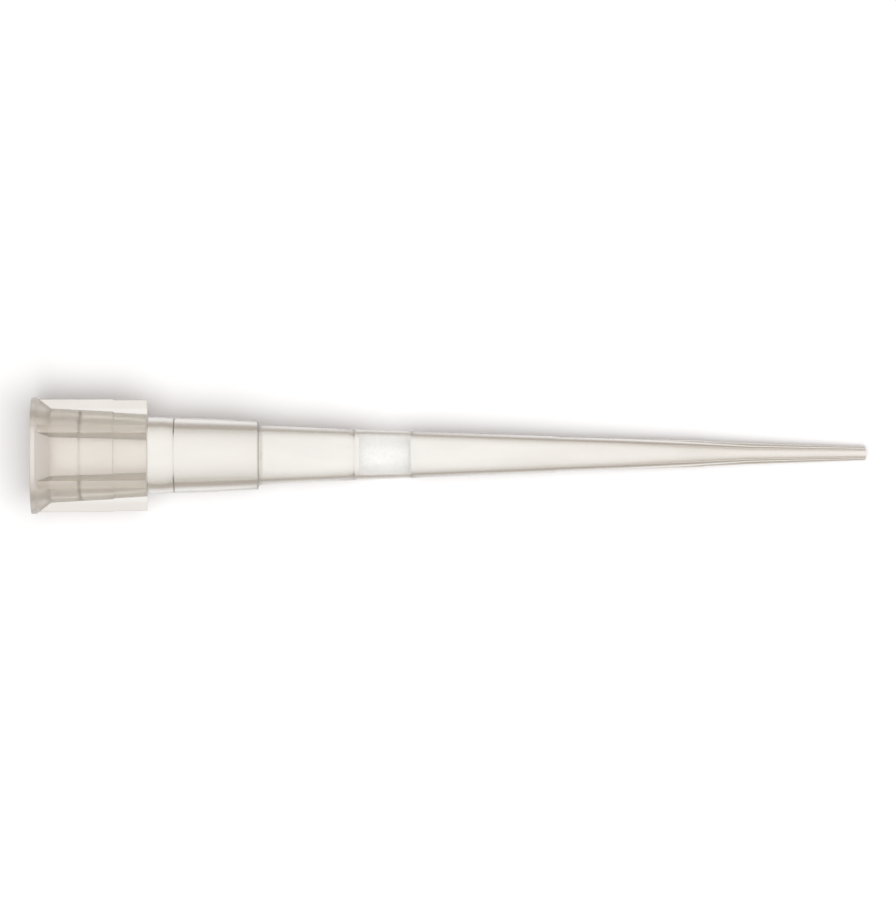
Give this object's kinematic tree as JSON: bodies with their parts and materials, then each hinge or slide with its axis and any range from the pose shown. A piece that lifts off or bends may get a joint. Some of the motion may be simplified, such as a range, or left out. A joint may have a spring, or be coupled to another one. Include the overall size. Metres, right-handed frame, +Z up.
{
  "type": "filter pipette tip",
  "caption": "Long narrow filter pipette tip: finned collar with a rim, stepped tapering clear plastic body, fine orifice, and a white porous filter plug pressed into the bore.",
  "frame": {"origin": "on the bench, under the middle of the length that the lying tip covers", "axes": "+X from the mouth towards the orifice along the bench, +Y to the side, +Z up; the tip's own axis leans 3.57 degrees down towards the orifice, because the rim and the narrow end touch the bench"},
  "size_m": [0.0463, 0.0064, 0.0065],
  "materials": {
    "natural_polypropylene": "clear-to-milky natural polypropylene, smooth as moulded",
    "porous_polyethylene": "white sintered porous polyethylene"
  },
  "bodies": {
    "root": {"tip_body": "natural_polypropylene", "filter_plug": "porous_polyethylene"}
  },
  "joints": []
}
